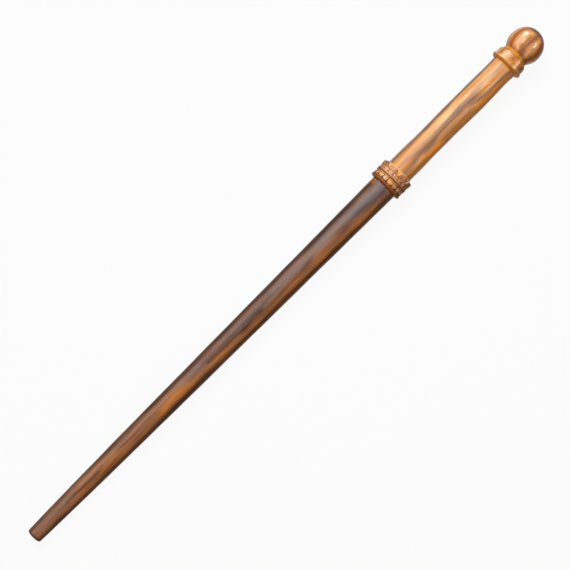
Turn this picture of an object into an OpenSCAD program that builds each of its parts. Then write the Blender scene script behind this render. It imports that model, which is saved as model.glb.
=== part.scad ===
// Magic wand in two turned woods. It unscrews at the guard, where a brass stud
// in the handle screws into the shaft, and its ball pommel unscrews from the
// steel rod that ties the handle together.
// The wand lies along X with its tip towards +X. The origin is on the axis, at
// the shoulder where the shaft leaves the guard.

/* [Shaft] */
// Length of shaft that shows in front of the guard
shaft_len = 249; // [200:1:300]
// Shaft diameter beside the guard
butt_d = 14.25; // [13.6:0.05:14.6]
// Shaft diameter at the tip
tip_d = 8.2; // [6:0.05:10]
// Extra thinning of the last stretch, on the radius
nose_drop = 0.7; // [0:0.1:1]
// Rounding of the tip's edge
tip_round = 0.8; // [0.4:0.1:2]
// Parallel length beside the guard, where the ring of a stand holds the wand
seat_len = 7; // [4:1:12]

/* [Guard] */
// Diameter over the lips of the two guard rings
guard_d = 18.4; // [18.2:0.1:19.4]
// Distance from the shoulder to the seam between the two rings
shaft_ring_len = 4.3; // [4.3:0.1:5.6]
// Length of the ring on the handle's side of the seam
handle_ring_len = 5.8; // [5.2:0.1:6.8]
// Width of the gap between the rings, which the spacer fills
seam_w = 0.8; // [0.4:0.1:1]
// Beads carved round the shaft ring
bead_count = 18; // [12:1:20]
// Petals carved round the handle ring
petal_count = 9; // [6:1:12]
// Depth of the flats carved on the lips, one to each bead, which stop the wand rolling
flat_depth = 0.09; // [0.06:0.01:0.12]
// Turn of the beads and petals about the axis, from the top towards +Y
carving_turn = 4.5; // [0:0.5:10]

/* [Grip] */
// Length of the grip between the guard and the pommel collar
grip_len = 74.1; // [70:0.1:90]
// Diameter at the grip's front end
grip_front_d = 14.2; // [13.8:0.1:14.4]
// Diameter at the waists, one behind the guard and one before the collar
waist_d = 13.6; // [13:0.1:13.8]
// Diameter at the swell under the palm
swell_d = 14.1; // [13.4:0.05:14.4]

/* [Pommel] */
// Length of the pommel collar
collar_len = 7.3; // [7:0.1:9]
// Diameter over the collar's flared lip
collar_d = 18; // [17:0.1:18.4]
// Width of the neck between the collar and the ball
neck_len = 1.4; // [1:0.1:2.4]
// Diameter of the neck ring
neck_d = 14.2; // [12:0.1:14.4]
// Diameter of the ball
ball_d = 18.6; // [17:0.1:20]
// Length of the ball behind the neck
ball_len = 16.1; // [15:0.1:18]

/* [Screw joints] */
// Thread diameter of the brass stud
stud_d = 6; // [5:0.5:6]
// Length of stud that stands out of the handle
stud_out = 11.2; // [8:0.1:14]
// Thread diameter of the steel tie rod
rod_d = 4; // [3:0.5:4]
// Length of rod that stands out of the collar
rod_out = 8.2; // [6:0.1:9]
// Clearance between a male thread and its insert, on the radius
thread_gap = 0.05; // [0.02:0.01:0.1]
// Clearance between faces that part when the wand is unscrewed
seam_gap = 0.05; // [0.02:0.01:0.1]

/* [Hidden] */
$fn = 64;

// Colours of the woods and metals.
dark_wood = "#6b4327";
light_wood = "#c98a4c";
ring_wood = "#a9673c";
neck_wood = "#b98a1e";
fibre = "#2a1a10";
brass = "#c9a24a";
steel = "#9a9da1";

// Faces along X, from the tip to the pommel.
shaft_face = -shaft_ring_len;
handle_face = shaft_face - seam_w;
grip_front = handle_face - handle_ring_len;
grip_back = grip_front - grip_len;
collar_back = grip_back - collar_len;
ball_front = collar_back - neck_len;
ball_end = ball_front - ball_len;

// Radii of the pieces that hide inside the wood.
lip_r = guard_d / 2;
tenon_r = 6.2;
stud_r = stud_d / 2;
rod_r = rod_d / 2;
hole_gap = 0.1;
glue_gap = 0.02;

// Shaft insert: a flanged brass bush with grooves that the glue keys into.
insert_r = stud_r + 1.3;
insert_flange_r = 5.4;
insert_flange_t = 1.2;
insert_len = 16.5;
insert_hole_len = 17.2;

// Joint stud: thread in front, flange, and a barrel that the tie rod screws into.
flange_recess = 0.5;
flange_t = 2.4;
flange_r = 5;
barrel_r = 3.6;
barrel_len = 11.5;
rod_in_stud = 9;
spanner_hole_r = 0.7;

// Collar: a socket for the grip's rear tenon and a counterbore for the washer and nut.
rear_tenon_r = 5.4;
rear_tenon_len = 3;
washer_r = 4.4;
washer_t = 0.8;
nut_af = 7;
nut_t = 2.2;
counterbore_r = 4.6;
counterbore_depth = washer_t + nut_t + 0.2;

// Ball insert: a plain brass bush.
ball_insert_r = rod_r + 1.5;
ball_insert_len = rod_out + 1.6;
ball_hole_len = ball_insert_len + 0.5;

// A radius that eases from a to b as t goes from 0 to 1.
function ease(a, b, t) = a + (b - a) * (1 - cos(180 * t)) / 2;

// Points [x, radius] of an arc about [cx, cr]; angle 0 points to +X, 90 outwards.
function arc(cx, cr, rad, from, to, steps) =
    [for (i = [0:steps]) let (a = from + (to - from) * i / steps)
        [cx + rad * cos(a), cr + rad * sin(a)]];

// Shaft radius at u, the share of its length from the guard.
function shaft_r(u) = butt_d / 2 - (butt_d / 2 - tip_d / 2 - nose_drop) * u - nose_drop * pow(u, 6);

// Grip outline as [distance behind the guard as a share of the length, radius].
grip_keys = [[0, grip_front_d / 2], [0.08, grip_front_d / 2], [0.24, waist_d / 2],
             [0.7, swell_d / 2], [0.93, waist_d / 2], [1, waist_d / 2 + 0.08]];
grip_steps = 5;

// A solid turned about X from an outline of [x, radius] points.
module turned(outline) {
    rotate([0, 90, 0]) rotate_extrude() polygon([for (p = outline) [p[1], p[0]]]);
}

// A round bar or hole along X from x0 to x1.
module bar(x0, x1, r) {
    translate([x0, 0, 0]) rotate([0, 90, 0]) cylinder(h = x1 - x0, r = r);
}

// Prism from x0 to x1 that cuts the lips' flats, with one flat underneath.
module flats(x0, x1) {
    corner_r = (lip_r - flat_depth) / cos(180 / bead_count);
    translate([x0, 0, 0]) rotate([0, 90, 0]) linear_extrude(x1 - x0)
        polygon([for (i = [0:bead_count - 1]) let (a = (i + 0.5) * 360 / bead_count)
            [corner_r * cos(a), corner_r * sin(a)]]);
}

// Copies of its children set evenly round X, the first one turned towards +Y.
module round_x(count, turn = 0) {
    for (i = [0:count - 1]) rotate([i * 360 / count - turn, 0, 0]) children();
}

// Tapered shaft with a tenon that carries the shaft ring.
module shaft() {
    taper_steps = 20;
    outline = concat(
        [[shaft_face, 0], [shaft_face, tenon_r - glue_gap], [0, tenon_r - glue_gap],
         [0, butt_d / 2], [seat_len, butt_d / 2]],
        [for (i = [2:taper_steps - 1]) [shaft_len * i / taper_steps, shaft_r(i / taper_steps)]],
        arc(shaft_len - tip_round, tip_d / 2 - tip_round, tip_round, 90, 0, 6),
        [[shaft_len, 0]]);
    color(dark_wood) difference() {
        turned(outline);
        bar(shaft_face - 1, shaft_face + insert_hole_len, insert_r + glue_gap);
        bar(shaft_face - 1, shaft_face + insert_flange_t, insert_flange_r + glue_gap);
    }
}

// Shaft ring: a smooth lip, a cove filled by a row of beads, and a thin lip at the seam.
module shaft_ring() {
    cove_front = -1.3;
    cove_back = -3.9;
    cove_r = lip_r - 1;
    bead_r = 1.3;
    bead_centre = [(cove_front + cove_back) / 2, 0, cove_r - 0.4];
    outline = concat(
        [[0, tenon_r]],
        arc(-0.7, lip_r - 0.7, 0.7, 0, 90, 5),
        arc(cove_front + 0.3, lip_r - 0.3, 0.3, 90, 180, 3),
        [[cove_front, cove_r], [cove_back, cove_r], [cove_back, lip_r - 0.1],
         [cove_back - 0.1, lip_r], [shaft_face + 0.1, lip_r], [shaft_face, lip_r - 0.1],
         [shaft_face, tenon_r]]);
    color(ring_wood) intersection() {
        union() {
            turned(outline);
            round_x(bead_count, carving_turn) translate(bead_centre) sphere(bead_r);
        }
        flats(shaft_face - 1, 1);
    }
}

// Flanged brass bush that the stud screws into.
module shaft_insert() {
    back = shaft_face + insert_len;
    groove_gap = 3;
    color(brass) difference() {
        union() {
            bar(shaft_face, back, insert_r);
            bar(shaft_face, shaft_face + insert_flange_t - glue_gap, insert_flange_r);
        }
        bar(shaft_face - 1, back + 1, stud_r + thread_gap);
        for (x = [shaft_face + groove_gap:groove_gap:back - 1])
            difference() {
                bar(x, x + 0.6, insert_r + 1);
                bar(x - 1, x + 2, insert_r - 0.4);
            }
    }
}

// Dark fibre washer between the guard rings, a little below their flats.
module joint_spacer() {
    color(fibre) difference() {
        bar(handle_face + seam_gap, shaft_face - seam_gap, lip_r - flat_depth - 0.05);
        bar(handle_face - 1, shaft_face + 1, stud_r + 0.4);
    }
}

// Handle ring: a thin lip at the seam, a cove, and a lip cut into petals over a bevel.
module handle_ring() {
    cove_half = 1;
    cove_depth = 0.45;
    cove_x = handle_face - 0.6 - cove_half;
    cove_r = (cove_half * cove_half + cove_depth * cove_depth) / (2 * cove_depth);
    cove_angle = asin(cove_half / cove_r);
    bevel_front = grip_front + 0.8;
    petal_notch = 2.2;
    outline = concat(
        [[handle_face, tenon_r], [handle_face, lip_r - 0.15], [handle_face - 0.15, lip_r]],
        arc(cove_x, lip_r - cove_depth + cove_r, cove_r, -90 + cove_angle, -90 - cove_angle, 6),
        [[bevel_front + 0.3, lip_r], [bevel_front, lip_r - 0.3],
         [bevel_front, butt_d / 2 + 0.9], [grip_front, butt_d / 2 + 0.1], [grip_front, tenon_r]]);
    color(ring_wood) difference() {
        intersection() {
            turned(outline);
            flats(grip_front - 1, handle_face + 1);
        }
        round_x(petal_count, carving_turn) translate([bevel_front, 0, lip_r]) rotate([0, 0, 45])
            cube([petal_notch, petal_notch, 1.6], center = true);
    }
}

// Brass stud: thread in front, a flange with spanner holes, and a barrel for the tie rod.
module joint_stud() {
    flange_front = handle_face - flange_recess;
    flange_back = flange_front - flange_t;
    barrel_back = flange_back - barrel_len;
    thread_end = handle_face + stud_out;
    tip_chamfer = 0.8;
    outline = [[barrel_back, 0], [barrel_back, barrel_r], [flange_back, barrel_r],
               [flange_back, flange_r], [flange_front, flange_r], [flange_front, stud_r],
               [thread_end - tip_chamfer, stud_r], [thread_end, stud_r - tip_chamfer],
               [thread_end, 0]];
    color(brass) difference() {
        turned(outline);
        bar(barrel_back - 1, barrel_back + rod_in_stud + 0.5, rod_r + glue_gap);
        round_x(2) translate([0, 0, stud_r + 1]) bar(flange_back + 0.8, flange_front + 1, spanner_hole_r);
    }
}

// Grip sleeve with a front tenon inside the handle ring and a rear tenon inside the collar.
module grip() {
    last = len(grip_keys) - 1;
    flange_seat = handle_face - flange_recess - flange_t;
    barrel_seat = flange_seat - barrel_len - 0.3;
    outline = concat(
        [[handle_face, 0], [handle_face, tenon_r - glue_gap], [grip_front, tenon_r - glue_gap],
         [grip_front, grip_front_d / 2]],
        [for (k = [0:last - 1]) for (i = [1:grip_steps])
            let (t = i / grip_steps, share = grip_keys[k][0] * (1 - t) + grip_keys[k + 1][0] * t)
                [grip_front - grip_len * share, ease(grip_keys[k][1], grip_keys[k + 1][1], t)]],
        [[grip_back, rear_tenon_r - glue_gap],
         [grip_back - rear_tenon_len + glue_gap, rear_tenon_r - glue_gap],
         [grip_back - rear_tenon_len + glue_gap, 0]]);
    color(light_wood) difference() {
        turned(outline);
        bar(flange_seat, handle_face + 1, flange_r + glue_gap);
        bar(barrel_seat, handle_face, barrel_r + glue_gap);
        bar(grip_back - rear_tenon_len - 1, barrel_seat + 1, rod_r + hole_gap);
    }
}

// Steel rod that draws the handle together and carries the ball on its rear end.
module tie_rod() {
    rod_front = handle_face - flange_recess - flange_t - barrel_len + rod_in_stud;
    rod_back = collar_back - rod_out;
    tip_chamfer = 0.5;
    color(steel) turned([[rod_back, 0], [rod_back, rod_r - tip_chamfer], [rod_back + tip_chamfer, rod_r],
                         [rod_front, rod_r], [rod_front, 0]]);
}

// Flared collar: socket for the grip in front, counterbore for the nut behind.
module pommel_collar() {
    band_r = collar_d / 2 - 0.6;
    outline = concat(
        [[grip_back, rear_tenon_r], [grip_back, waist_d / 2 + 0.3],
         [grip_back - 1.1, collar_d / 2 - 0.3]],
        arc(grip_back - 1.9, collar_d / 2 - 0.5, 0.5, 60, 150, 4),
        arc(grip_back - 3.2, band_r + 0.35, 0.5, -30, -130, 4),
        arc(grip_back - 4.6, band_r - 0.6, 0.65, 70, 130, 3),
        arc(collar_back + 1.5, band_r - 1.5, 1.5, 90, 180, 5),
        [[collar_back, counterbore_r], [collar_back + counterbore_depth, counterbore_r],
         [collar_back + counterbore_depth, rod_r + hole_gap],
         [grip_back - rear_tenon_len, rod_r + hole_gap], [grip_back - rear_tenon_len, rear_tenon_r]]);
    color(light_wood) turned(outline);
}

// Washer under the nut.
module rod_washer() {
    front = collar_back + counterbore_depth;
    color(steel) difference() {
        bar(front - washer_t, front - glue_gap, washer_r);
        bar(front - washer_t - 1, front + 1, rod_r + hole_gap);
    }
}

// Thin hexagon nut that clamps the handle on the tie rod.
module rod_nut() {
    front = collar_back + counterbore_depth - washer_t;
    color(steel) difference() {
        translate([front - nut_t, 0, 0]) rotate([0, 90, 0])
            cylinder(h = nut_t - glue_gap, r = nut_af / 2 / cos(30), $fn = 6);
        bar(front - nut_t - 1, front + 1, rod_r + glue_gap);
    }
}

// Coved ring that shows as the neck between the collar and the ball.
module neck_ring() {
    front = collar_back - seam_gap;
    back = ball_front + seam_gap;
    color(neck_wood) turned([[front, rod_r + hole_gap], [front, neck_d / 2],
                             [(front + back) / 2, neck_d / 2 - 0.25], [back, neck_d / 2],
                             [back, rod_r + hole_gap]]);
}

// Ball, slightly longer than it is wide, bored for its insert.
module pommel_ball() {
    front_r = ball_d / 2;
    rear_r = front_r - 0.15;
    front_centre = ball_front - 6.1;
    color(light_wood) difference() {
        intersection() {
            union() {
                translate([front_centre, 0, 0]) sphere(front_r, $fn = 96);
                translate([ball_end + rear_r, 0, 0]) sphere(rear_r, $fn = 96);
            }
            bar(ball_end - 1, ball_front, ball_d);
        }
        bar(ball_front - ball_hole_len, ball_front + 1, ball_insert_r + glue_gap);
    }
}

// Brass bush that the rod's rear end screws into.
module ball_insert() {
    color(brass) difference() {
        bar(ball_front - ball_insert_len, ball_front - glue_gap, ball_insert_r);
        bar(ball_front - ball_insert_len - 1, ball_front + 1, rod_r + thread_gap);
    }
}

shaft();
shaft_ring();
shaft_insert();
joint_spacer();
handle_ring();
joint_stud();
grip();
tie_rod();
pommel_collar();
rod_washer();
rod_nut();
neck_ring();
pommel_ball();
ball_insert();
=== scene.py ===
"""Looks of a take-apart magic wand: turned and carved wood over brass and steel fittings.

Lengths in this file are millimetres along X from the guard's shoulder, and radii from the
axis; meshes are written in metres. Angles run round the axis from the top (+Z) towards +Y.
"""

import math

import bmesh
import bpy
import numpy as np
from mathutils import Matrix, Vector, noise


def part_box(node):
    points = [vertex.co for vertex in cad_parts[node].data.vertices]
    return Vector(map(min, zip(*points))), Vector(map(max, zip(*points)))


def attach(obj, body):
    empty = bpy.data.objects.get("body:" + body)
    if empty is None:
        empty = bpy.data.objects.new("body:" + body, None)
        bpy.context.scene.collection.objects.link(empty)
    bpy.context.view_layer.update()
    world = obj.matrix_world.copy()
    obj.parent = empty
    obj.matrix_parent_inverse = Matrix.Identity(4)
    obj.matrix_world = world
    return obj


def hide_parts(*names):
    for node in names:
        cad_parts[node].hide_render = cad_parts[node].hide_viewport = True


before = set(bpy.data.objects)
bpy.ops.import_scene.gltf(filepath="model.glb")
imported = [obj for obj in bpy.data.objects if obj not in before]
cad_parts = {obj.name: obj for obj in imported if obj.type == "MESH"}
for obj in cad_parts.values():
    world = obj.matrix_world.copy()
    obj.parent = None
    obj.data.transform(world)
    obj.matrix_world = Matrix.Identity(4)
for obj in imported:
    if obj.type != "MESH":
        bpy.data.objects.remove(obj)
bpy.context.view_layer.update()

MM = 0.001
TURN = 2 * math.pi
SHARP_ANGLE = math.radians(42)


# ---------------------------------------------------------------- sizes from the frame

def span(node):
    """Rear end, front end and largest radius of a CAD node."""
    low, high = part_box(node)
    return low.x / MM, high.x / MM, high.y / MM


SHAFT_FACE, TIP, BUTT_R = span("shaft")
GRIP_BACK_END, HANDLE_FACE, _ = span("grip")
RING_BACK = span("handle_ring")[0]
COLLAR_BACK, GRIP_BACK, COLLAR_R = span("pommel_collar")
BALL_END, BALL_FRONT, BALL_R = span("pommel_ball")
LIP_R = span("shaft_ring")[2]

# Sizes that a node's box doesn't give, as in part.scad.
TIP_R = 4.1
NOSE_DROP = 0.7
TIP_ROUND = 0.8
SEAT_END = 7.0
TENON_R = 6.2
GLUE_GAP = 0.02
ROD_BORE_R = 2.1
FLAT_DEPTH = 0.09
BEADS = 18
PETALS = 9
CARVING_TURN = math.radians(4.5)

# Beads that face the camera, from the top outwards; their tones follow the photo.
FACING = [0, 1, -1, -2]


# ---------------------------------------------------------------- outlines and meshes

def rounded(points, radius=0.15, steps=5):
    """Closed or open outline with each corner replaced by a small curve, which takes less than
    half of a side. A point is (x, r) or (x, r, corner radius)."""
    most = 0.49
    out = []
    count = len(points)
    for i, p in enumerate(points):
        here = np.array(p[:2], float)
        reach = p[2] if len(p) > 2 else radius
        if i in (0, count - 1) and here[1] == 0 or reach == 0:
            out.append(tuple(here))
            continue
        before = np.array(points[i - 1][:2], float) - here
        after = np.array(points[(i + 1) % count][:2], float) - here
        a = here + before * min(reach / np.linalg.norm(before), most)
        b = here + after * min(reach / np.linalg.norm(after), most)
        for s in range(steps + 1):
            t = s / steps
            out.append(tuple((1 - t) ** 2 * a + 2 * t * (1 - t) * here + t * t * b))
    return out


def refined(points, step, first=None, last=None):
    """The outline with extra points so that none between X = first and last are over step apart."""
    tiny = 1e-6
    out = [points[0]]
    for a, b in zip(points, points[1:] + points[:1]):
        length = math.dist(a, b)
        inside = first is None or (min(a[0], b[0]) >= first - tiny and max(a[0], b[0]) <= last + tiny)
        parts = max(1, math.ceil(length / step)) if inside else 1
        for k in range(1, parts + 1):
            t = k / parts
            out.append((a[0] + (b[0] - a[0]) * t, a[1] + (b[1] - a[1]) * t))
    if points[0][1] == 0 and points[-1][1] == 0:
        while out[-1] != points[-1]:
            out.pop()
        return out
    return out[:-1]


def lathe(name, outline, segments, relief=None):
    """A closed mesh turned about X. relief(x, r, a) gives arrays of new x and r.
    Also gives each vertex's x, r and angle in mm and radians."""
    outline = np.array(outline, float)
    on_axis = outline[:, 1] < 1e-6
    angles = np.arange(segments) * TURN / segments
    x = np.repeat(outline[:, 0][:, None], segments, 1)
    r = np.repeat(outline[:, 1][:, None], segments, 1)
    a = np.repeat(angles[None, :], len(outline), 0)
    if relief is not None:
        new_x, new_r = relief(x, r, a)
        keep = on_axis[:, None]
        x, r = np.where(keep, x, new_x), np.where(keep, r, new_r)
    verts, rows, facts = [], [], []
    for i in range(len(outline)):
        if on_axis[i]:
            rows.append([len(verts)] * segments)
            verts.append((outline[i, 0] * MM, 0, 0))
            facts.append((outline[i, 0], 0, 0))
            continue
        rows.append(list(range(len(verts), len(verts) + segments)))
        for fact in zip(x[i], r[i], a[i]):
            along, out, angle = fact
            verts.append((along * MM, out * math.sin(angle) * MM, out * math.cos(angle) * MM))
            facts.append(fact)
    faces = []
    last = len(outline) - 1 if on_axis[0] and on_axis[-1] else len(outline)
    for i in range(last):
        one, two = rows[i], rows[(i + 1) % len(outline)]
        for j in range(segments):
            k = (j + 1) % segments
            corners = [one[j], one[k], two[k], two[j]]
            face = [c for n, c in enumerate(corners) if c not in corners[:n]]
            if len(face) > 2:
                faces.append(face)
    mesh = bpy.data.meshes.new(name)
    mesh.from_pydata(verts, [], faces)
    mesh.validate()
    fix_normals(mesh)
    mesh.shade_smooth()
    mesh.set_sharp_from_angle(angle=SHARP_ANGLE)
    obj = bpy.data.objects.new(name, mesh)
    bpy.context.scene.collection.objects.link(obj)
    return obj, np.array(facts)


def fix_normals(mesh):
    bm = bmesh.new()
    bm.from_mesh(mesh)
    bmesh.ops.recalc_face_normals(bm, faces=bm.faces)
    bm.to_mesh(mesh)
    bm.free()


def store(obj, name, values):
    """A value for each vertex, which the material reads by name."""
    layer = obj.data.attributes.new(name, "FLOAT", "POINT")
    layer.data.foreach_set("value", np.clip(values, 0, 1).astype(np.float32))


def smooth(value, low, high):
    """0 below low, 1 above high, eased between them."""
    t = np.clip((value - low) / (high - low), 0, 1)
    return t * t * (3 - 2 * t)


def wander(x, seed, length):
    """A smooth random value from about -1 to 1 for each x, repeating nowhere."""
    out = [noise.noise((v / length, seed * 7.31, 0.5)) for v in np.ravel(x)]
    return np.array(out).reshape(np.shape(x)) * 2


def swell(x, a, seed, length, around=1.0):
    """Smooth random relief over a turned surface, from about -1 to 1."""
    flat = zip(np.ravel(x), np.ravel(a))
    out = [noise.noise((v / length + seed, around * math.cos(w), around * math.sin(w))) for v, w in flat]
    return np.array(out).reshape(np.shape(x)) * 2


# ---------------------------------------------------------------- zones: streaks in the wood, painted light and painted shade

def zone_mask(facts, zones, seed):
    """How much each vertex lies in one of the zones: (path, half width in mm, strength).
    A path is a list of (x, angle in degrees). A zone is soft at its sides and long at its ends."""
    x, r, a = facts.T
    degrees = np.degrees(a)
    clear = np.ones(len(facts))
    for number, (path, half_width, strength) in enumerate(zones):
        xs, angles = np.array(sorted(path), float).T
        centre = np.interp(x, xs, angles) + 3 * wander(x, seed + number, 11)
        inside = smooth(np.minimum(x - xs[0], xs[-1] - x), 0, 5 * half_width)
        width = half_width * (0.5 + 0.5 * inside) * (1 + 0.3 * wander(x, seed + number + 40, 8))
        off = (degrees - centre + 180) % 360 - 180
        distance = np.radians(off) * r
        clear *= 1 - strength * inside * np.exp(-(distance / width) ** 2)
    return 1 - clear


def random_zones(count, first, last, seed, away_from=None):
    """Long zones scattered round the wood. Those within away_from of the top go underneath, because
    the streaks up there are placed one by one."""
    rng = np.random.default_rng(seed)
    made = []
    for _ in range(count):
        start = rng.uniform(first, last)
        length = rng.uniform(0.25, 0.6) * (last - first)
        angle = rng.uniform(-180, 180)
        if away_from and abs(angle) < away_from:
            angle = 180 - angle
        middle_bend, end_bend, _ = rng.uniform(-18, 18, 3)
        path = [(start, angle), (start + length / 2, angle + middle_bend),
                (start + length, angle + end_bend)]
        made.append((path, rng.uniform(0.6, 1.8), rng.uniform(0.4, 0.9)))
    return made


# ---------------------------------------------------------------- material nodes

class Recipe:
    """A material's node tree, with short ways to add and join nodes."""

    def __init__(self, name):
        self.material = bpy.data.materials.new(name)
        self.material.use_nodes = True
        self.tree = self.material.node_tree
        self.shader = self.tree.nodes["Principled BSDF"]
        self.place = self.add("ShaderNodeTexCoord").outputs["Object"]

    def add(self, kind, inputs=None, **settings):
        made = self.tree.nodes.new(kind)
        for key, value in settings.items():
            setattr(made, key, value)
        for key, value in (inputs or {}).items():
            self.put(made.inputs[key], value)
        return made

    def put(self, socket, value):
        if isinstance(value, bpy.types.NodeSocket):
            self.tree.links.new(value, socket)
        else:
            socket.default_value = value

    def set(self, **values):
        for key, value in values.items():
            self.put(self.shader.inputs[key.replace("_", " ")], value)

    def stretched(self, along, across, offset=0.0):
        """The object's coordinates scaled to cells of the given size in mm, moved by offset cells."""
        scale = (1 / (along * MM), 1 / (across * MM), 1 / (across * MM))
        return self.add("ShaderNodeMapping", {"Vector": self.place, "Scale": scale,
                                              "Location": (offset, offset * 1.7, 0)}).outputs[0]

    def noise(self, along, across, detail=3.0, rough=0.55, twist=0.0, offset=0.0):
        return self.add("ShaderNodeTexNoise", {
            "Vector": self.stretched(along, across, offset), "Scale": 1.0, "Detail": detail,
            "Roughness": rough, "Distortion": twist}).outputs["Fac"]

    def ramp(self, value, *stops):
        made = self.add("ShaderNodeValToRGB", {"Fac": value})
        points = made.color_ramp.elements
        while len(points) < len(stops):
            points.new(0.5)
        for point, (at, colour) in zip(points, stops):
            point.position = at
            point.color = (*colour, 1) if isinstance(colour, tuple) else (colour, colour, colour, 1)
        return made.outputs["Color"]

    def math(self, operation, a, b, clamp=False):
        made = self.add("ShaderNodeMath", {0: a, 1: b}, operation=operation)
        made.use_clamp = clamp
        return made.outputs[0]

    def mix(self, share, a, b, blend="MIX"):
        made = self.add("ShaderNodeMix", data_type="RGBA", blend_type=blend)
        self.put(made.inputs[0], share)
        for socket, value in ((made.inputs[6], a), (made.inputs[7], b)):
            self.put(socket, (*value, 1) if isinstance(value, tuple) else value)
        return made.outputs[2]

    def value(self, name):
        return self.add("ShaderNodeAttribute", attribute_name=name).outputs["Fac"]

    def spread(self, value, low, high, to_low=0.0, to_high=1.0):
        """value mapped so that low to high becomes to_low to to_high, clamped."""
        return self.add("ShaderNodeMapRange", {
            "Value": value, "From Min": low, "From Max": high,
            "To Min": to_low, "To Max": to_high}).outputs[0]

    def bump(self, height, strength, distance):
        return self.add("ShaderNodeBump", {
            "Height": height, "Strength": strength, "Distance": distance * MM}).outputs[0]


def srgb(red, green, blue):
    """A colour as it looks on a screen, from 0 to 255, as the linear values that nodes take."""
    parts = [c / 255 for c in (red, green, blue)]
    return tuple(c / 12.92 if c <= 0.04045 else ((c + 0.055) / 1.055) ** 2.4 for c in parts)


def wood(name, pale, mid, deep, tints, fibre=0.3, pore=0.2, coat=0.4, rough=0.36, sheen=0.22):
    """Lacquered wood with its grain along X. Each tint is a zone stored on the mesh and its colour.
    fibre and pore are the depths of the fine lines, which the mesh's "end" zone calms."""
    m = Recipe(name)
    bands = m.noise(34, 2.4, 4, 0.5, 0.5)
    calm = m.math("SUBTRACT", 1.0, m.value("end"))
    veins = m.math("SUBTRACT", m.noise(15, 0.8, 4, 0.6, 0.15, 3.0), 0.5)
    veins = m.math("ADD", m.math("MULTIPLY", veins, calm), 0.5)
    hair = m.noise(7, 0.22, 2, 0.5, 0.0, 7.0)
    colour = m.ramp(bands, (0.32, deep), (0.5, mid), (0.68, pale))
    for area, tint in tints.items():
        broken = m.math("MULTIPLY", m.value(area), m.spread(veins, 0.3, 0.7, 0.5, 1.5), clamp=True)
        colour = m.mix(broken, colour, tint)
    lines = m.ramp(veins, (0.3, 1 - fibre), (0.5, 1.0), (0.72, 1 + 0.2 * fibre))
    pores = m.ramp(hair, (0.3, 1 - pore), (0.42, 1.0))
    colour = m.mix(1.0, colour, lines, "MULTIPLY")
    colour = m.mix(1.0, colour, pores, "MULTIPLY")
    m.set(Base_Color=colour, IOR=1.5, Coat_Weight=coat, Coat_Roughness=sheen)
    m.set(Roughness=m.spread(veins, 0.0, 1.0, rough - 0.08, rough + 0.12))
    m.set(Normal=m.bump(veins, 0.1, 0.03))
    return m.material


def carved_wood(name):
    """Carved ring: each carving has its own tone, and the hollow zone is painted shade, darkening the
    hollows, creases and faces turned from the light.
    """
    m = Recipe(name)
    fine = m.noise(3.2, 0.6, 4, 0.6, 0.3)
    blotch = m.noise(2.6, 2.6, 3, 0.5, 0.5, 5.0)
    hollow_shade = m.value("hollow")
    colour = m.ramp(blotch, (0.3, srgb(136, 80, 42)), (0.5, srgb(164, 106, 62)),
                    (0.7, srgb(188, 134, 90)))
    colour = m.mix(m.value("tone"), colour, srgb(206, 140, 58))
    colour = m.mix(m.value("pink"), colour, srgb(172, 120, 102))
    # The pale zone is partly painted light: on the bevel it follows the light, and on beads and leaves it
    # is partly a highlight.
    colour = m.mix(m.value("pale"), colour, srgb(240, 184, 126))
    colour = m.mix(1.0, colour, m.ramp(fine, (0.3, 0.74), (0.55, 1.0), (0.8, 1.1)), "MULTIPLY")
    # Painted shade: the hollow zone, broken by the fine grain, darkens the colour towards deep brown.
    shaded_hollows = m.math("MULTIPLY", hollow_shade, m.spread(fine, 0.3, 0.7, 0.7, 1.3), clamp=True)
    colour = m.mix(shaded_hollows, colour, srgb(104, 48, 2))
    m.set(Base_Color=colour, IOR=1.5, Coat_Roughness=0.22)
    m.set(Coat_Weight=m.spread(hollow_shade, 0.0, 1.0, 0.4, 0.05))
    m.set(Specular_IOR_Level=m.spread(hollow_shade, 0.0, 1.0, 0.5, 0.2))
    m.set(Roughness=m.spread(fine, 0.0, 1.0, 0.32, 0.5))
    m.set(Normal=m.bump(fine, 0.3, 0.05))
    return m.material


def metal(name, bright, dull, grooves, rough):
    """Turned metal with fine tool marks round the axis and a little tarnish."""
    m = Recipe(name)
    marks = m.noise(grooves, 40, 3, 0.6)
    tarnish = m.noise(1.6, 1.6, 4, 0.6, 0.4, 2.0)
    m.set(Base_Color=m.ramp(tarnish, (0.35, dull), (0.6, bright)), Metallic=1.0)
    m.set(Roughness=m.spread(tarnish, 0.0, 1.0, rough + 0.15, rough))
    m.set(Normal=m.bump(marks, 0.3, 0.02))
    return m.material


def fibre_board(name):
    """Dark vulcanised fibre: matt, faintly mottled and fuzzy."""
    m = Recipe(name)
    mottle = m.noise(0.5, 0.5, 4, 0.6)
    m.set(Base_Color=m.ramp(mottle, (0.35, srgb(100, 52, 20)), (0.7, srgb(144, 84, 38))))
    m.set(Roughness=0.6)
    m.set(Normal=m.bump(mottle, 0.5, 0.05))
    return m.material


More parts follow.
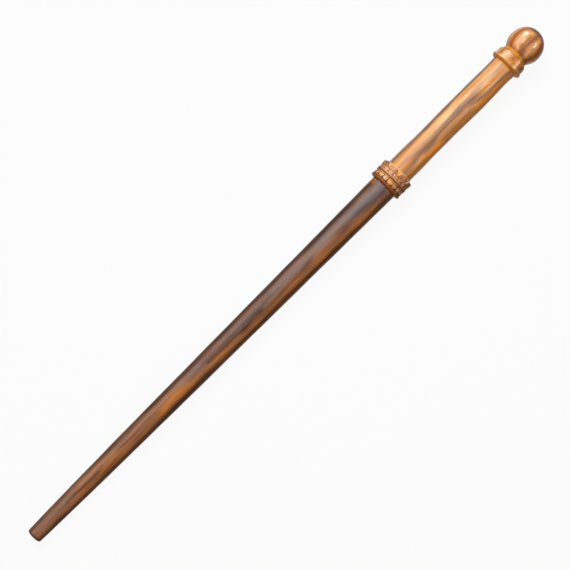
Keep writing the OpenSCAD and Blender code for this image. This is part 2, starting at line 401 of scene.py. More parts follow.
# Some tints carry painted light: the streak tints also paint shade along edges, in the collar's cove and
# as a dark band on the ball, the collar's and ball's pale tints are painted highlights and reflections,
# and the gold tints partly paint shade on the collar and ball and light on the shaft by the guard.
SHAFT_WOOD = wood("shaft_wood", srgb(156, 102, 62), srgb(136, 87, 52), srgb(104, 66, 42),
                  {"gold": srgb(178, 106, 38), "ash": srgb(96, 85, 84), "streak_and_painted_shade": srgb(54, 28, 20)},
                  fibre=0.34, pore=0.12, sheen=0.34)
GRIP_WOOD = wood("grip_wood", srgb(234, 180, 118), srgb(214, 152, 92), srgb(190, 124, 62),
                 {"gold": srgb(242, 146, 44), "streak_and_painted_shade": srgb(124, 88, 70)},
                 fibre=0.24, pore=0.12, coat=0.6, sheen=0.3)
COLLAR_WOOD = wood("collar_wood", srgb(226, 166, 104), srgb(206, 136, 70), srgb(176, 98, 34),
                   {"gold": srgb(184, 110, 10), "pale": srgb(250, 212, 168),
                    "streak_and_painted_shade": srgb(120, 60, 36)},
                   fibre=0.3, pore=0.15, coat=0.8)
BALL_WOOD = wood("ball_wood", srgb(218, 152, 94), srgb(198, 128, 70), srgb(168, 100, 44),
                 {"gold": srgb(188, 100, 14), "pale": srgb(240, 190, 138),
                  "streak_and_painted_shade": srgb(104, 58, 40)},
                 fibre=0.45, pore=0.15, coat=1.0, rough=0.32)
NECK_WOOD = wood("neck_wood", srgb(222, 160, 56), srgb(200, 134, 30), srgb(176, 108, 12), {},
                 fibre=0.1, pore=0.06, coat=0.1, rough=0.5)
RING_WOOD = carved_wood("ring_wood")
BRASS = metal("brass", srgb(214, 170, 92), srgb(160, 116, 56), 0.12, 0.22)
STEEL = metal("steel", srgb(196, 198, 204), srgb(140, 142, 148), 0.1, 0.26)
FIBRE = fibre_board("fibre")


def finish_piece(obj, material, node, body):
    obj.data.materials.append(material)
    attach(obj, body)
    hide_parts(node)
    return obj


# ---------------------------------------------------------------- shaft half

def shaft_radius(x):
    u = x / TIP
    return BUTT_R - (BUTT_R - TIP_R - NOSE_DROP) * u - NOSE_DROP * u ** 6


def make_shaft():
    """Tapered shaft. Its butt shows a tenon's end with the insert's seat when it is unscrewed."""
    hole_r = 4.32
    hole_end = SHAFT_FACE + 17.2
    flange_r = 5.42
    flange_end = SHAFT_FACE + 1.2
    body = [(x, shaft_radius(x)) for x in np.arange(SEAT_END + 5, TIP - TIP_ROUND, 1.0)]
    nose = [(TIP - TIP_ROUND + TIP_ROUND * math.sin(t), TIP_R - TIP_ROUND + TIP_ROUND * math.cos(t))
            for t in np.linspace(0, math.pi / 2, 8)]
    outline = [(hole_end, 0), (hole_end, hole_r), (flange_end, hole_r), (flange_end, flange_r),
               (SHAFT_FACE, flange_r), (SHAFT_FACE, TENON_R - GLUE_GAP), (0, TENON_R - GLUE_GAP),
               (0, BUTT_R), (SEAT_END, BUTT_R)] + body + nose + [(TIP, 0)]
    outline = refined(outline, 0.5, 0, TIP)

    def relief(x, r, a):
        """The shaft's slow unevenness, none of it on the seat or on the tip's flat end."""
        outer = smooth(x, SEAT_END, SEAT_END + 20) * (r > TIP_R - 0.9)
        return x, r + outer * (0.045 * swell(x, a, 3, 16) + 0.018 * swell(x, a, 9, 6, 3))

    obj, facts = lathe("shaft", outline, 96, relief)
    x, _, a = facts.T
    # The tip darkens over its last 2 mm: end grain on the end face, and painted shade on the rounding and
    # side that face away from the light.
    end_darkening = 0.8 * smooth(x, TIP - 2.2, TIP - 0.8)
    # Next to the guard the shaft is paler and golden: partly a paler rim of wood, partly painted light
    # that lifts the shade where the shaft meets the guard.
    pale_rim_and_painted_light = smooth(1.6 - x, 0, 1.0) * (0.6 + 0.4 * np.sin(3 * a))
    pale_patch = smooth(4.6 - x, 0, 2) * np.exp(-((np.degrees(a) - 306) / 17) ** 2)
    clean = (1 - 0.7 * pale_rim_and_painted_light) * (1 - 0.9 * pale_patch)
    dark = [
        # Painted shade: the first five zones darken the upper and lower edges of the shaft; the others
        # are streaks in the wood.
        ([(270, -50), (190, -50), (120, -48)], 1.6, 0.2),
        ([(170, -50), (90, -52), (0, -52), (-20, -52)], 2.0, 0.5),
        ([(275, -64), (120, -62), (5, -62)], 1.1, 0.6),
        ([(56, -62), (30, -62), (-8, -60)], 1.5, 0.85),
        ([(260, 56), (150, 54), (60, 52), (-20, 52)], 1.7, 0.6),
        ([(106, 20), (92, 12), (78, 16), (62, 6), (48, 2)], 1.2, 0.5),
        ([(128, -4), (118, 2), (110, 5), (102, 6), (92, -2), (84, 0)], 0.8, 0.7),
        ([(132, -20), (120, -18), (104, -12), (90, -14), (74, -14)], 1.5, 0.45),
        ([(40, 4), (28, 2), (18, 6), (8, 14), (-4, 16)], 1.6, 0.5),
        ([(222, -2), (212, 1), (200, -1)], 0.6, 0.6),
        ([(180, 14), (168, 8), (156, 6)], 0.7, 0.35),
    ] + random_zones(26, -10, 240, 11, away_from=75)
    store(obj, "end", end_darkening)
    store(obj, "streak_and_painted_shade", np.maximum(zone_mask(facts, dark, 1) * clean, end_darkening))
    gold = [
        ([(166, 14), (150, 8), (132, 10)], 1.7, 0.75),
        ([(144, 14), (128, 14), (116, 22), (104, 28), (92, 26), (78, 30), (60, 34), (40, 30),
          (16, 32), (4, 34)], 1.6, 0.6),
        ([(256, 4), (220, 8), (176, 6)], 1.8, 0.25),
        ([(7.5, -54), (3, -54), (-6, -54)], 1.8, 1.0),
        ([(262, -60), (244, -60), (196, -58)], 0.7, 0.6),
    ] + random_zones(8, 0, 200, 23, away_from=100)
    store(obj, "gold", np.maximum(zone_mask(facts, gold, 2), 0.7 * pale_rim_and_painted_light))
    ash = [
        ([(34, -28), (20, -20), (8, -12), (-30, -8)], 3.0, 0.95),
        ([(20, 0), (6, 8), (-20, 8)], 2.2, 0.8),
        ([(150, -18), (90, -20), (30, -20), (-20, -14)], 3.2, 0.5),
        ([(56, -36), (40, -34), (22, -30)], 1.3, 0.5),
        ([(84, -18), (68, -19), (50, -18)], 1.4, 0.6),
        ([(110, -14), (96, -13), (82, -14)], 1.1, 0.5),
        ([(268, -8), (236, -8), (210, -8)], 3.4, 0.3),
    ] + random_zones(5, -20, 70, 31, away_from=110)
    store(obj, "ash", zone_mask(facts, ash, 3) * (1 - 0.5 * pale_rim_and_painted_light))
    return finish_piece(obj, SHAFT_WOOD, "shaft", "shaft_half")


# ---------------------------------------------------------------- guard

def flat_limit(a):
    """Radius of the prism that flattens the lips, one flat to each bead."""
    step = TURN / BEADS
    off = (a + step / 2) % step - step / 2
    return (LIP_R - FLAT_DEPTH) / np.cos(off)


def carving(a, count, r):
    """Which carving each angle belongs to, counted from the top, and how far it is from its middle.
    Being cut by hand, they are not quite evenly spaced."""
    step = TURN / count
    even = a - CARVING_TURN + math.radians(1) - math.radians(3) * np.sin(2 * a)
    number = np.round(even / step)
    return number.astype(int) % count, (even - number * step) * r


def make_shaft_ring():
    """Smooth lip, a cove filled with carved beads, and a thin lip at the seam."""
    cove_front, cove_back = -1.3, -3.9
    cove_r = LIP_R - 1.0
    outline = rounded([
        (0, TENON_R, 0), (0, LIP_R, 1.1), (cove_front - 0.2, LIP_R, 0.3), (cove_front - 0.2, cove_r),
        (cove_back, cove_r), (cove_back, LIP_R, 0.12), (SHAFT_FACE, LIP_R, 0.12),
        (SHAFT_FACE, TENON_R, 0)])
    outline = refined(outline, 0.09, SHAFT_FACE, 0)
    rng = np.random.default_rng(5)
    size = rng.uniform(0.95, 1.03, BEADS)
    shift = rng.uniform(-0.07, 0.07, BEADS)
    middle = (cove_front + cove_back) / 2 - 0.27

    def crest(x):
        """Height of the row of beads, which falls a little towards the seam."""
        return LIP_R - 0.1 - 0.3 * smooth(-x, 2.2, 3.6)

    def relief(x, r, a):
        bead, off = carving(a, BEADS, LIP_R - 0.6)
        along = np.abs(x - middle - shift[bead]) / (1.5 * size[bead])
        across = np.abs(off) / (1.62 * size[bead])
        inside = np.clip(1 - along ** 2.4 - across ** 2.4, 0, 1)
        rise = cove_r + 0.1 + (crest(x) - cove_r - 0.1) * inside ** 0.5
        outer = r > cove_r - 0.2
        in_cove = (x < cove_front) & (x > cove_back + 0.1) & outer
        lip = np.where(in_cove, np.maximum(r, rise), r)
        rough = 0.035 * swell(x, a, 4, 1.6, 9) * (r > cove_r - 0.1)
        return x, np.where(outer, np.minimum(lip + rough, flat_limit(a)), r)

    obj, facts = lathe("shaft_ring", outline, 540, relief)
    x, r, a = facts.T
    bead, off = carving(a, BEADS, r)
    in_bead = smooth(1.6 - np.abs(x - middle), 0, 0.3) * smooth(1.5 - np.abs(off), 0, 0.3)
    golden = rng.uniform(0, 0.6, BEADS)
    pinkish = rng.uniform(0, 0.7, BEADS)
    light = rng.uniform(0, 0.3, BEADS)
    golden[FACING] = 0.8, 0.1, 0.0, 0.4
    pinkish[FACING] = 0.0, 0.3, 0.8, 0.2
    light[FACING] = 0.2, 0.0, 0.35, 0.45
    store(obj, "tone", golden[bead] * in_bead)
    store(obj, "pink", pinkish[bead] * in_bead)
    # The pale tops of the beads are partly a random tone and, on the beads facing the camera, partly a
    # painted highlight.
    store(obj, "pale", light[bead] * in_bead * smooth(r, crest(x) - 0.4, crest(x)))
    # Painted shade, stored as hollow: the cove below the beads, the front lip that faces away from the
    # light and the groove behind it; the rear lip at the seam a little.
    deep = 0.9 * smooth(crest(x) - r, 0.15, 0.5) * (1 - 0.5 * smooth(-x, 3.3, 3.7))
    deep *= x > cove_back
    front_lip_shade = 0.7 * (1 - smooth(-x, 1.2, 1.5)) + 0.3 * smooth(0.35 - np.abs(x + 1.3), 0, 0.25)
    rear_lip = 0.12 * smooth(-x, -cove_back + 0.05, -cove_back + 0.25)
    store(obj, "hollow", np.maximum.reduce([deep, front_lip_shade, rear_lip]) * (r > cove_r - 0.3))
    return finish_piece(obj, RING_WOOD, "shaft_ring", "shaft_half")


def make_shaft_insert():
    """Flanged brass bush; its flange and threaded mouth show when the wand is apart."""
    low, high, flange_r = span("shaft_insert")
    bore = 3.05
    body_r = 4.3
    flange_end = low + 1.18
    outline = rounded([
        (low, bore, 0.25), (low, flange_r, 0.12), (flange_end, flange_r, 0.05),
        (flange_end, body_r, 0.05), (high, body_r, 0.3), (high, bore, 0.1)])
    outline = refined(outline, 0.12, low, low + 1.3)
    obj, _ = lathe("shaft_insert", outline, 96)
    return finish_piece(obj, BRASS, "shaft_insert", "shaft_half")


def make_joint_spacer():
    """Flat fibre washer in the guard's seam."""
    low, high, outer_r = span("joint_spacer")
    hole_r = 3.4
    outline = rounded([(low, hole_r), (low, outer_r), (high, outer_r), (high, hole_r)], 0.1)
    obj, _ = lathe("joint_spacer", refined(outline, 0.4), 128)
    return finish_piece(obj, FIBRE, "joint_spacer", "spacer")


def make_handle_ring():
    """Thin lip at the seam, a cove with low carved leaves, and a lip notched into petals over a bevel."""
    cove_front, cove_back = HANDLE_FACE - 0.6, HANDLE_FACE - 2.6
    bevel = RING_BACK + 0.95
    cove_r = LIP_R - 0.5
    base_r = BUTT_R + 0.1
    bevel_r = base_r + 0.8
    outline = rounded([
        (HANDLE_FACE, TENON_R, 0), (HANDLE_FACE, LIP_R, 0.14), (cove_front, LIP_R, 0.15),
        (cove_front - 0.3, cove_r, 0.3), (cove_back + 0.3, cove_r, 0.3), (cove_back, LIP_R, 0.3),
        (bevel, LIP_R, 0.3), (bevel, bevel_r, 0.1), (RING_BACK, base_r, 0.12),
        (RING_BACK, TENON_R, 0)])
    outline = refined(outline, 0.09, RING_BACK, HANDLE_FACE)
    middle = (cove_front + cove_back) / 2 - 0.15

    def notch(x, a):
        """How far a place is inside the V cut between two petals, 0 to 1."""
        _, off = carving(a, PETALS, LIP_R)
        width = 1.5 * np.clip((cove_back + 0.1 - x) / (cove_back + 0.1 - bevel), 0, 1)
        return smooth(width - np.abs(off), -0.2, 0.3) * (x < cove_back + 0.1)

    def relief(x, r, a):
        _, off = carving(a, BEADS, LIP_R - 0.3)
        leaf = np.clip(1 - (np.abs(x - middle) / 1.5) ** 1.7 - (np.abs(off) / 1.6) ** 1.7, 0, 1)
        rise = cove_r - 0.1 + 0.42 * leaf ** 0.55
        outer = r > bevel_r - 0.02
        in_cove = (x < cove_front - 0.1) & (x > cove_back + 0.15)
        out = np.where(in_cove & outer, np.maximum(rise, r - 0.1), r)
        out = np.where(outer, out - notch(x, a) * np.clip(out - (LIP_R - 0.85), 0, 3), out)
        rough = 0.035 * swell(x, a, 14, 1.4, 10) * outer
        return x, np.where(outer, np.minimum(out + rough, flat_limit(a)), out)

    obj, facts = lathe("handle_ring", outline, 540, relief)
    x, r, a = facts.T
    leaf, _ = carving(a, BEADS, r)
    rng = np.random.default_rng(8)
    pinkish = rng.uniform(0.1, 0.6, BEADS)
    golden = rng.uniform(0, 0.4, BEADS)
    light = rng.uniform(0, 0.2, BEADS)
    pinkish[FACING] = 0.2, 0.6, 0.7, 0.5
    golden[FACING] = 0.5, 0.0, 0.1, 0.2
    light[FACING] = 0.15, 0.0, 0.3, 0.45
    at_bevel = smooth(-x, -bevel - 0.1, -bevel + 0.1)
    at_petal = smooth(-x, -cove_back - 0.1, -cove_back + 0.2)
    in_notch = notch(x, a) * smooth(LIP_R - r, 0.2, 0.6)
    # Painted light on the bevel: lighter towards the top and bottom and darker at the sides, as the light
    # falls.
    bevel_painted_light = 0.15 + 0.6 * np.cos(a + 0.2) ** 2
    # The pale raised leaves are partly a random tone and, on the leaves facing the camera, partly a
    # painted highlight.
    on_leaf = light[leaf] * (1 - at_petal) * smooth(r, cove_r - 0.05, cove_r + 0.2)
    store(obj, "pale", np.maximum.reduce([at_bevel * bevel_painted_light, 0.3 * in_notch, on_leaf]))
    store(obj, "tone", np.maximum(golden[leaf] * (1 - 0.6 * at_petal), in_notch) * (1 - at_bevel))
    store(obj, "pink", pinkish[leaf] * (1 - 0.7 * at_petal) * (1 - at_bevel) * (1 - in_notch))
    # Painted shade, stored as hollow: the low parts of the cove, the lip beside the seam, the shadowed
    # wall beside each petal notch and the step at the back of the cove.
    deep = 0.6 * smooth(LIP_R - r, 0.32, 0.55) + 0.5 * smooth(x, HANDLE_FACE - 0.3, HANDLE_FACE - 0.1)
    beside = np.abs(carving(a, PETALS, r)[1] + 1.6)
    notch_wall_shadow = 0.6 * smooth(0.7 - beside, 0, 0.6) * smooth(-x, -bevel - 1.2, -bevel - 0.3)
    step = 0.35 * smooth(0.35 - np.abs(x - cove_back), 0, 0.25)
    hollow = np.maximum.reduce([deep, notch_wall_shadow, step])
    store(obj, "hollow", hollow * (1 - at_bevel) * (1 - in_notch) * (r > base_r))
    return finish_piece(obj, RING_WOOD, "handle_ring", "handle")


# ---------------------------------------------------------------- handle

def grip_radius(share):
    """Radius of the grip at a share of its length behind the guard."""
    keys = [(0, 7.1), (0.08, 7.1), (0.24, 6.8), (0.7, 7.05), (0.93, 6.8), (1, 6.88)]
    for (a, ra), (b, rb) in zip(keys, keys[1:]):
        if share <= b:
            t = (share - a) / (b - a)
            return ra + (rb - ra) * (1 - math.cos(math.pi * t)) / 2
    return keys[-1][1]


def make_grip():
    """Grip sleeve with its two tenons; the front one shows its end when the wand is apart."""
    length = RING_BACK - GRIP_BACK
    seat = HANDLE_FACE - 2.9
    seat_r = 5.02
    barrel_end = seat - 11.8
    barrel_r = 3.62
    front_r = TENON_R - GLUE_GAP
    back_r = 5.38
    skin = [(RING_BACK - length * s, grip_radius(s)) for s in np.linspace(0, 1, 150)]
    outline = [(GRIP_BACK_END, ROD_BORE_R), (barrel_end, ROD_BORE_R), (barrel_end, barrel_r),
               (seat, barrel_r), (seat, seat_r), (HANDLE_FACE, seat_r), (HANDLE_FACE, front_r),
               (RING_BACK, front_r)]
    outline += skin + [(GRIP_BACK, back_r), (GRIP_BACK_END, back_r)]

    def relief(x, r, a):
        ends = smooth(x, GRIP_BACK, GRIP_BACK + 3) * (1 - smooth(x, RING_BACK - 3, RING_BACK))
        outer = (r > 6.4) * ends
        return x, r + outer * (0.07 * swell(x, a, 33, 18) + 0.03 * swell(x, a, 37, 7, 2))

    obj, facts = lathe("grip", outline, 128, relief)
    dark = [
        # Painted shade: the first two zones darken the grip's upper edge; the others are streaks in the
        # wood.
        ([(-2, -60), (-20, -58), (-44, -60)], 1.1, 0.9),
        ([(-30, -62), (-50, -62), (-100, -64)], 1.3, 0.85),
        ([(-16, 6), (-25, 9), (-33, 8), (-38, 3), (-45, 0), (-55, -3), (-62, 2), (-71, 4)], 2.1, 0.95),
        ([(0, 20), (-14, 19), (-26, 14)], 1.5, 0.75),
        ([(8, -12), (-34, -11), (-50, -13), (-70, -14), (-100, -12)], 1.3, 0.65),
        ([(-54, 8), (-64, 18), (-70, 27), (-80, 33), (-98, 33)], 1.2, 0.75),
        ([(-32, 33), (-46, 36), (-62, 33)], 1.1, 0.65),
        ([(-2, 46), (-14, 45), (-27, 43)], 1.0, 0.55),
    ] + random_zones(16, -95, -20, 43, away_from=75)
    store(obj, "streak_and_painted_shade", zone_mask(facts, dark, 5))
    gold = [
        ([(-2, 56), (-30, 52), (-60, 48), (-100, 52)], 2.2, 1.0),
        ([(-18, 30), (-30, 31), (-42, 30)], 1.2, 0.7),
        ([(-54, 33), (-62, 35), (-70, 38)], 1.0, 0.7),
        ([(-4, 2), (-12, 0), (-22, 2)], 1.2, 0.4),
    ] + random_zones(5, -90, -20, 47, away_from=100)
    store(obj, "gold", zone_mask(facts, gold, 6))
    return finish_piece(obj, GRIP_WOOD, "grip", "handle")


def thread(x, a, first, last, crest, root, pitch):
    """Radius of a right-hand thread that fades out at both ends."""
    phase = x / pitch + a / TURN
    tooth = smooth(0.5 + 0.5 * np.cos(TURN * phase), 0.12, 0.88)
    fade = smooth(x, first, first + pitch / 2) * (1 - smooth(x, last - pitch / 2, last))
    return crest - (crest - root) * (1 - tooth) * fade


def make_joint_stud():
    """Brass stud: coarse thread, flange with two spanner holes, and a barrel behind."""
    low, high, flange_r = span("joint_stud")
    front = HANDLE_FACE - 0.5
    back = front - 2.4
    barrel_r = 3.6
    stud_r = 3.0
    root_r = 2.55
    pitch = 1.5
    nose = 0.8
    hole_at, hole_r, hole_depth = 4, 0.72, 1.4
    outline = rounded([
        (low, 0), (low, barrel_r, 0.2), (back, barrel_r, 0.1), (back, flange_r, 0.15),
        (front, flange_r, 0.2), (front, stud_r, 0.15), (high - nose, stud_r, 0.1),
        (high, stud_r - nose, 0.1), (high, 0)])
    outline = refined(outline, 0.1, front - 0.02, high)

    def relief(x, r, a):
        threaded = (x > front + 0.2) & (r > 2.15)
        cut = thread(x, a, front + 0.6, high + 1, stud_r, root_r, pitch)
        r = np.where(threaded, np.minimum(r, cut), r)
        for side in (0, math.pi):
            gap = np.hypot(r * np.cos(a - side) - hole_at, r * np.sin(a - side))
            in_hole = (np.abs(x - front) < 0.15) & (gap < hole_r)
            x = np.where(in_hole, x - hole_depth * (1 - smooth(gap, 0.5, hole_r)), x)
        return x, r

    obj, _ = lathe("joint_stud", outline, 192, relief)
    return finish_piece(obj, BRASS, "joint_stud", "handle")


def make_tie_rod():
    """Steel rod; its rear end carries the ball's thread."""
    low, high, rod_r = span("tie_rod")
    threaded_to = COLLAR_BACK + 2.5
    root_r = 1.68
    pitch = 0.7
    nose = 0.5
    outline = [(low, 0), (low, rod_r - nose), (low + nose, rod_r), (threaded_to, rod_r),
               (high, rod_r), (high, 0)]
    outline = refined(outline, 0.07, low, threaded_to)

    def relief(x, r, a):
        threaded = (r > 1.4) & (x < threaded_to)
        cut = thread(x, a, low - 1, threaded_to, rod_r, root_r, pitch)
        return x, np.where(threaded, np.minimum(r, cut), r)

    obj, _ = lathe("tie_rod", outline, 64, relief)
    return finish_piece(obj, STEEL, "tie_rod", "handle")


def make_pommel_collar():
    """Collar with a flared lip, a shallow cove and two soft beads, carved a little unevenly."""
    web = GRIP_BACK - 3.0
    socket_r = 5.42
    bottom = COLLAR_BACK + 3.2
    counterbore_r = 4.6
    band = COLLAR_R - 0.6
    outline = rounded([
        (GRIP_BACK, socket_r, 0), (GRIP_BACK, 6.95, 0.2), (GRIP_BACK - 1.1, COLLAR_R - 0.35, 0.5),
        (GRIP_BACK - 2.1, COLLAR_R, 0.5), (GRIP_BACK - 3.0, band - 0.15, 0.4),
        (GRIP_BACK - 3.9, band - 0.1, 0.35), (GRIP_BACK - 4.3, band + 0.02, 0.3),
        (GRIP_BACK - 4.9, band - 0.22, 0.25), (GRIP_BACK - 5.5, band + 0.0, 0.35),
        (GRIP_BACK - 6.3, band - 0.25, 0.4), (COLLAR_BACK, band - 1.2, 0.3),
        (COLLAR_BACK, counterbore_r, 0.12), (bottom, counterbore_r, 0.05), (bottom, ROD_BORE_R, 0),
        (web, ROD_BORE_R, 0), (web, socket_r, 0)])
    outline = refined(outline, 0.15, COLLAR_BACK, GRIP_BACK)

    def relief(x, r, a):
        outer = (r > 6.6) * smooth(GRIP_BACK - x, 0.2, 1.2)
        return x, r + outer * (0.10 * swell(x, a, 51, 5, 1.4) + 0.05 * swell(x, a, 57, 1.5, 4))

    obj, facts = lathe("pommel_collar", outline, 256, relief)
    x, r, a = facts.T
    behind = GRIP_BACK - x
    below_lip = smooth(behind, 1.4, 2.2)
    # Painted shade: the lip's front face, turned from the light, is tinted dark gold; a little more gold
    # towards the rear.
    store(obj, "gold", np.maximum(1 - smooth(behind, 0.9, 1.7), 0.3 * smooth(behind, 5.8, 6.8)))
    # The first blotch is the wood's own; the two at about 50 degrees either side of the top are painted
    # shade along the collar's edges.
    blotch = [([(GRIP_BACK - 1.5, 4), (GRIP_BACK - 8, 6)], 0.9, 0.8),
              ([(GRIP_BACK + 1, 50), (GRIP_BACK - 9, 50)], 1.2, 0.6),
              ([(GRIP_BACK + 1, -54), (GRIP_BACK - 9, -52)], 1.0, 0.5)]
    # Painted highlights: cream bands at about 22 and 26 degrees either side of the top, where the lights
    # reflect.
    painted_reflections = [([(GRIP_BACK + 4, -22), (GRIP_BACK - 12, -23)], 1.4, 0.45),
             ([(GRIP_BACK + 4, 26), (GRIP_BACK - 12, 26)], 0.8, 0.4)]
    store(obj, "pale", zone_mask(facts, painted_reflections, 12) * below_lip)
    # Painted shade: the collar's cove is darkened.
    hollow = smooth(band + 0.1 - r, 0.1, 0.5) * (x > COLLAR_BACK + 0.8) * (x < GRIP_BACK - 2.6)
    store(obj, "streak_and_painted_shade", np.maximum(0.35 * hollow, zone_mask(facts, blotch, 8) * below_lip))
    return finish_piece(obj, COLLAR_WOOD, "pommel_collar", "handle")


def make_rod_washer():
    """Flat washer at the bottom of the collar's counterbore."""
    low, high, washer_r = span("rod_washer")
    outline = rounded([(low, ROD_BORE_R), (low, washer_r), (high, washer_r), (high, ROD_BORE_R)], 0.12)
    obj, _ = lathe("rod_washer", refined(outline, 0.4), 96)
    return finish_piece(obj, STEEL, "rod_washer", "handle")


def make_rod_nut():
    """Thin hexagon nut with chamfered corners."""
    low, high, _ = span("rod_nut")
    half_side = math.pi / 6
    flat_r = 3.5
    corner_r = flat_r / math.cos(half_side)
    bore = 2.02
    outline = rounded([(low, bore, 0.2), (low, corner_r, 0.05), (high, corner_r, 0.05),
                       (high, bore, 0.2)], 0.1)
    outline = refined(outline, 0.12)

    def relief(x, r, a):
        off = (a + half_side) % (2 * half_side) - half_side
        chamfer = corner_r - 0.1 - 1.6 * np.clip(0.25 - np.minimum(x - low, high - x), 0, 1)
        limit = np.minimum(flat_r / np.cos(off), chamfer)
        return x, np.minimum(r, limit)

    obj, _ = lathe("rod_nut", outline, 96, relief)
    return finish_piece(obj, STEEL, "rod_nut", "handle")


# ---------------------------------------------------------------- neck and ball

def make_neck_ring():
    """Thin ring with a hollow rim, between the collar and the ball."""
    low, high, neck_r = span("neck_ring")
    middle = (low + high) / 2
    outline = rounded([(low, ROD_BORE_R, 0), (low, neck_r, 0.12), (middle, neck_r - 0.35, 0.4),
                       (high, neck_r, 0.12), (high, ROD_BORE_R, 0)])
    obj, _ = lathe("neck_ring", refined(outline, 0.15, low + 0.05, high - 0.05), 160)
    return finish_piece(obj, NECK_WOOD, "neck_ring", "neck")


def ball_radius(x):
    """The ball's outline: two spheres a little apart."""
    rear_r = BALL_R - 0.15
    front_centre = BALL_FRONT - 6.1
    rear_centre = BALL_END + rear_r
    front = BALL_R ** 2 - (x - front_centre) ** 2
    rear = rear_r ** 2 - (x - rear_centre) ** 2
    return math.sqrt(max(front, rear, 0))


def make_pommel_ball():
    """Solid ball with a blind hole for the insert; its rear end shows end grain."""
    hole_r = 3.52
    hole_end = BALL_FRONT - 10.3
    middle = (BALL_FRONT + BALL_END) / 2
    half = (BALL_FRONT - BALL_END) / 2
    steps = np.linspace(0.0, math.pi, 110)
    skin = [(middle + half * math.cos(t), ball_radius(middle + half * math.cos(t))) for t in steps]
    skin[-1] = (BALL_END, 0)
    outline = [(hole_end, 0), (hole_end, hole_r), (BALL_FRONT, hole_r)] + skin

    def relief(x, r, a):
        outer = (r > 3.6) | (x < BALL_END + 4)
        return x, r * (1 + 0.004 * swell(x, a, 61, 7, 1.2) * outer)

    obj, facts = lathe("pommel_ball", outline, 160, relief)
    ahead = facts[:, 0] - BALL_END
    end_darkening = 0.8 * (1 - smooth(ahead, 2.0, 4.0))
    # Painted shade: the ball's front, turned away from the lights, is tinted dark gold.
    shade = 0.6 * smooth(facts[:, 0], BALL_FRONT - 1.4, BALL_FRONT - 0.4)
    dark = [
        ([(-86, 12), (-95, 12), (-101, 10)], 2.0, 0.75),
        ([(-90, 5), (-98, 4), (-106, 5), (-114, 4)], 1.3, 0.75),
        # The next two zones are painted reflection: a dark band at about 50 degrees either side of the
        # top, where the ball mirrors the dark surroundings.
        ([(-86, 50), (-100, 52), (-114, 50)], 1.3, 0.6),
        ([(-86, -48), (-100, -46), (-114, -48)], 0.9, 0.45),
    ] + random_zones(10, -112, -94, 67, away_from=75)
    store(obj, "end", 0.8 * (1 - smooth(ahead, 2.5, 7.0)))
    store(obj, "streak_and_painted_shade", np.maximum(zone_mask(facts, dark, 7), end_darkening))
    # Painted reflection: this gold band at about 45 degrees either side of the top deepens the same dark
    # band.
    golden = [([(-86, 44), (-100, 44), (-114, 44)], 1.8, 0.7),
              ([(-86, -48), (-100, -47), (-114, -48)], 1.6, 0.7)]
    store(obj, "gold", np.maximum(zone_mask(facts, golden, 9), shade))
    # Painted highlights in the bands at about 19 and 27 degrees, and painted reflections of the floor at
    # the rims near 70 degrees.
    painted_reflections = [([(-84, -19), (-100, -18), (-116, -18)], 2.6, 0.3),
             ([(-86, 27), (-100, 27), (-114, 27)], 1.0, 0.3),
             ([(-84, 72), (-100, 72), (-116, 72)], 1.6, 0.4),
             ([(-84, -70), (-100, -70), (-116, -70)], 1.8, 0.5)]
    store(obj, "pale", zone_mask(facts, painted_reflections, 13) * (1 - end_darkening))
    return finish_piece(obj, BALL_WOOD, "pommel_ball", "pommel")


def make_ball_insert():
    """Plain brass bush in the ball, with a countersunk mouth."""
    low, high, insert_r = span("ball_insert")
    bore = 2.05
    outline = rounded([(low, bore), (low, insert_r), (high, insert_r, 0.08), (high, bore, 0.3)], 0.1)
    obj, _ = lathe("ball_insert", refined(outline, 0.2, high - 1, high), 96)
    return finish_piece(obj, BRASS, "ball_insert", "pommel")


for make in (make_shaft, make_shaft_ring, make_shaft_insert, make_joint_spacer, make_handle_ring,
             make_grip, make_joint_stud, make_tie_rod, make_pommel_collar, make_rod_washer,
             make_rod_nut, make_neck_ring, make_pommel_ball, make_ball_insert):
    make()


# ---------------------------------------------------------------- floor, light and camera

def glow(name, strength):
    """A material that shines white, and its output still to be linked."""
    material = bpy.data.materials.new(name)
    material.use_nodes = True
    tree = material.node_tree
    tree.nodes.clear()
    emit = tree.nodes.new("ShaderNodeEmission")
    emit.inputs["Color"].default_value = (1, 1, 1, 1)
    emit.inputs["Strength"].default_value = strength
    out = tree.nodes.new("ShaderNodeOutputMaterial")
    return material, tree, emit, out


def show_to_camera_only(obj):
    """The floor and backdrop don't light the wand; the lights and the world do."""
    for kind in ("diffuse", "glossy", "transmission", "shadow"):
        setattr(obj, "visible_" + kind, False)


def make_floor():
    """Pale floor that the wand rests on with the guard and the tip, so it leans by about a degree."""
    guard = (-1.0, -(LIP_R - FLAT_DEPTH))
    tip = (TIP - TIP_ROUND, -TIP_R)
    slope = (tip[1] - guard[1]) / (tip[0] - guard[0])
    reach = 3000.0
    low, high = (guard[1] + slope * (x - guard[0]) for x in (-reach, reach))
    corners = [(-reach, -reach, low), (reach, -reach, high), (reach, reach, high), (-reach, reach, low)]
    mesh = bpy.data.meshes.new("floor")
    mesh.from_pydata([tuple(c * MM for c in p) for p in corners], [], [(0, 1, 2, 3)])
    floor = bpy.data.objects.new("floor", mesh)
    bpy.context.scene.collection.objects.link(floor)
    material, tree, emit, out = glow("floor", 0.93)
    matt = tree.nodes.new("ShaderNodeBsdfDiffuse")
    matt.inputs["Color"].default_value = (0.03, 0.03, 0.03, 1)
    both = tree.nodes.new("ShaderNodeAddShader")
    tree.links.new(emit.outputs[0], both.inputs[0])
    tree.links.new(matt.outputs[0], both.inputs[1])
    tree.links.new(both.outputs[0], out.inputs[0])
    mesh.materials.append(material)
    show_to_camera_only(floor)


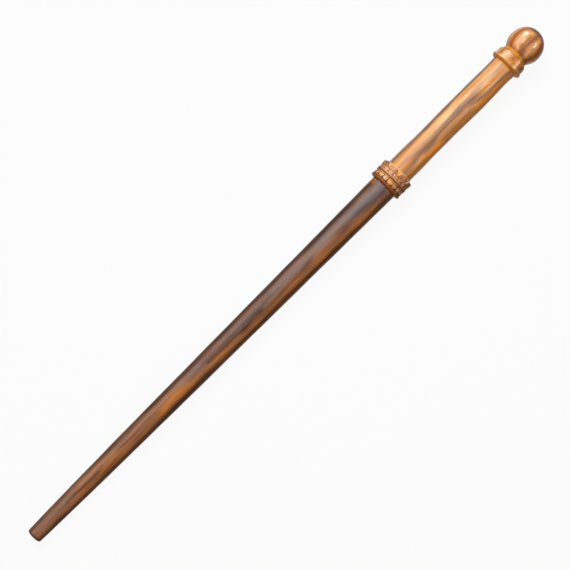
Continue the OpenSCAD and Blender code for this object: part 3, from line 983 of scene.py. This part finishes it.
def make_world():
    """Studio surroundings: white paper below, dark at the horizon and dim above.
    A stop is a share of the way from straight down to straight up, and its brightness."""
    stops = [(0.0, 0.4), (0.16, 0.28), (0.27, 0.07), (0.36, 0.03), (0.5, 0.03), (0.65, 0.1), (1.0, 0.16)]
    world = bpy.data.worlds.new("studio")
    bpy.context.scene.world = world
    world.use_nodes = True
    tree = world.node_tree
    place = tree.nodes.new("ShaderNodeTexCoord")
    split = tree.nodes.new("ShaderNodeSeparateXYZ")
    height = tree.nodes.new("ShaderNodeMapRange")
    height.inputs["From Min"].default_value = -1
    shade = tree.nodes.new("ShaderNodeValToRGB")
    points = shade.color_ramp.elements
    while len(points) < len(stops):
        points.new(0.5)
    for point, (at, level) in zip(points, stops):
        point.position = at
        point.color = (level, level, level, 1)
    tree.links.new(place.outputs["Generated"], split.inputs[0])
    tree.links.new(split.outputs["Z"], height.inputs["Value"])
    tree.links.new(height.outputs[0], shade.inputs["Fac"])
    tree.links.new(shade.outputs["Color"], tree.nodes["Background"].inputs["Color"])
    tree.nodes["Background"].inputs["Strength"].default_value = 1.0


def make_dome():
    """Pale backdrop all round, which only the camera sees."""
    bm = bmesh.new()
    bmesh.ops.create_uvsphere(bm, u_segments=32, v_segments=16, radius=2.9)
    mesh = bpy.data.meshes.new("backdrop")
    bm.to_mesh(mesh)
    bm.free()
    dome = bpy.data.objects.new("backdrop", mesh)
    bpy.context.scene.collection.objects.link(dome)
    material, tree, emit, out = glow("backdrop", 1.0)
    tree.links.new(emit.outputs[0], out.inputs[0])
    mesh.materials.append(material)
    show_to_camera_only(dome)


def area_light(name, towards, distance, size, power, aim_x=0.0, spread=180):
    """Soft box in a direction from the wand's axis at aim_x, in metres, watts and degrees.
    size is (width, which lies along X if it can, height)."""
    light = bpy.data.lights.new(name, "AREA")
    light.shape = "RECTANGLE"
    light.size, light.size_y = size
    light.energy = power
    light.spread = math.radians(spread)
    box = bpy.data.objects.new(name, light)
    bpy.context.scene.collection.objects.link(box)
    way = np.array(towards, float) / np.linalg.norm(towards)
    box.location = np.array((aim_x, 0, 0)) + way * distance
    side = np.array((1.0, 0, 0)) - way * way[0]
    side /= np.linalg.norm(side)
    up = np.cross(way, side)
    turn = Matrix((side, up, way)).transposed()
    box.rotation_euler = turn.to_euler()
    return box


def make_lights():
    """Three soft lights give the shading. Three boxes give only reflections: the band along the
    wand and the two spots on the ball."""
    key = area_light("key", (-0.30, -0.42, 0.85), 1.2, (0.5, 0.5), 21.0)
    bounce = area_light("bounce", (0.0, 0.25, -0.97), 0.8, (1.6, 1.0), 13.0)
    fill = area_light("fill", (0.9, 0.2, 0.3), 1.2, (0.6, 0.6), 4.0)
    for soft in (key, bounce, fill):
        soft.visible_glossy = False
    ball = -0.1
    band_box = area_light("band_box", (0.0, -0.78, 0.63), 0.8, (1.3, 0.60), 3.9, 0.06)
    upper_box = area_light("upper_box", (-0.66, -0.67, 0.34), 0.9, (0.34, 0.28), 3.9, ball)
    side_box = area_light("side_box", (-0.543, 0.631, 0.552), 0.9, (0.32, 0.15), 0.042, ball, 25)
    for shine in (band_box, upper_box, side_box):
        shine.visible_diffuse = False


def make_camera():
    """Straight above the wand, turned so that the wand runs from lower left to upper right."""
    data = bpy.data.cameras.new("camera")
    data.lens = 102.2
    data.sensor_width = 36
    data.clip_start, data.clip_end = 0.01, 50
    camera = bpy.data.objects.new("camera", data)
    bpy.context.scene.collection.objects.link(camera)
    camera.location = (0.0703, -0.0002, 0.814)
    camera.rotation_euler = (0, 0, math.radians(135.04))
    bpy.context.scene.camera = camera


make_floor()
make_dome()
make_world()
make_lights()
make_camera()
bpy.context.scene.view_settings.view_transform = "Standard"
bpy.context.scene.view_settings.look = "None"
